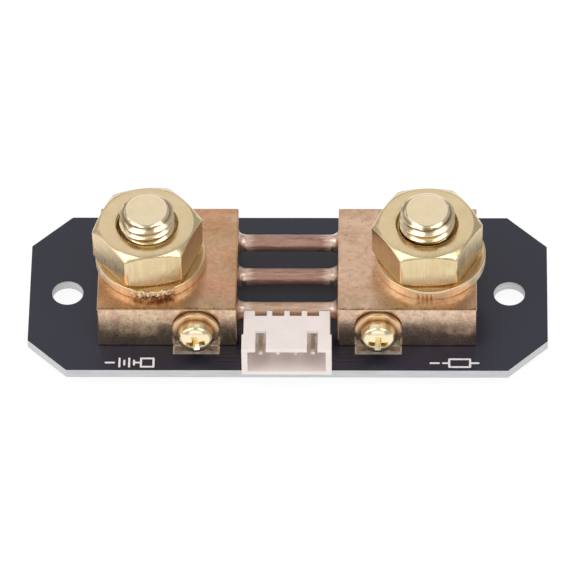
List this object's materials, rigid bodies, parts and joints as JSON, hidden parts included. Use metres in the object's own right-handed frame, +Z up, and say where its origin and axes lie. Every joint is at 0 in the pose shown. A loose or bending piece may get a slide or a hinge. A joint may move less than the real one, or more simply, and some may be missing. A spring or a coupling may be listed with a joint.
{
  "type": "battery monitor shunt",
  "caption": "Current shunt on a black circuit board: brass terminal blocks with studs and nuts, joined by resistance bars, with sense screws and a white pin connector.",
  "frame": {"origin": "midway between the two mounting holes, on the underside of the circuit board", "axes": "+X from the battery terminal to the load terminal, -Y is the side the connector faces, +Z up along the studs"},
  "size_m": [0.075, 0.0309, 0.0213],
  "materials": {
    "board_black_mask": "black solder mask, semi-gloss, on a pale laminate",
    "block_brass": "milled, slightly oxidised, pinkish",
    "yellow_brass": "turned, bright",
    "manganin": "drawn, coppery brown",
    "silver_braze": "satin",
    "tab_bronze": "satin",
    "solder": "satin",
    "tinned_metal": "bright tin",
    "zinc_steel": "zinc plated",
    "white_nylon": "natural nylon, satin",
    "black_epoxy": "moulded epoxy",
    "tan_ceramic": "fired ceramic"
  },
  "bodies": {
    "root": {"amplifier_body": "black_epoxy", "amplifier_leads": "tinned_metal", "block_screws_battery": "zinc_steel", "block_screws_load": "zinc_steel", "braze_fillets_battery": "silver_braze", "braze_fillets_load": "silver_braze", "chip_capacitors": "tan_ceramic", "chip_end_caps": "solder", "chip_resistors": "black_epoxy", "circuit_board": "board_black_mask", "connector_housing": "white_nylon", "connector_pin_1": "tinned_metal", "connector_pin_2": "tinned_metal", "connector_pin_3": "tinned_metal", "connector_pin_4": "tinned_metal", "connector_solder_joints": "solder", "resistance_bar_front": "manganin", "resistance_bar_middle": "manganin", "resistance_bar_rear": "manganin", "sense_screw_battery": "yellow_brass", "sense_screw_load": "yellow_brass", "sense_tab_battery": "tab_bronze", "sense_tab_load": "tab_bronze", "sense_washer_battery": "yellow_brass", "sense_washer_load": "yellow_brass", "tab_solder_battery": "solder", "tab_solder_load": "solder", "terminal_block_battery": "block_brass", "terminal_block_load": "block_brass", "terminal_stud_battery": "yellow_brass", "terminal_stud_load": "yellow_brass"},
    "washer_body_battery": {"flat_washer_battery": "yellow_brass"},
    "nut_body_battery": {"hex_nut_battery": "yellow_brass"},
    "washer_body_load": {"flat_washer_load": "yellow_brass"},
    "nut_body_load": {"hex_nut_load": "yellow_brass"}
  },
  "joints": [
    {"name": "nut_turn_battery", "type": "hinge", "parent": "root", "child": "washer_body_battery", "pos_m": [-0.0201, -0.0002, 0.0107], "axis": [0, 0, 1], "range_deg": [0, 2520]},
    {"name": "nut_lift_battery", "type": "slide", "parent": "washer_body_battery", "child": "nut_body_battery", "axis": [0, 0, 1], "range_m": [0, 0.00876]},
    {"name": "nut_turn_load", "type": "hinge", "parent": "root", "child": "washer_body_load", "pos_m": [0.0201, -0.0002, 0.0107], "axis": [0, 0, 1], "range_deg": [0, 2520]},
    {"name": "nut_lift_load", "type": "slide", "parent": "washer_body_load", "child": "nut_body_load", "axis": [0, 0, 1], "range_m": [0, 0.00876]}
  ],
  "couplings": [
    {"joint": "nut_lift_battery", "follows": "nut_turn_battery", "m_per_rad": 0.00019894},
    {"joint": "nut_lift_load", "follows": "nut_turn_load", "m_per_rad": 0.00019894}
  ]
}
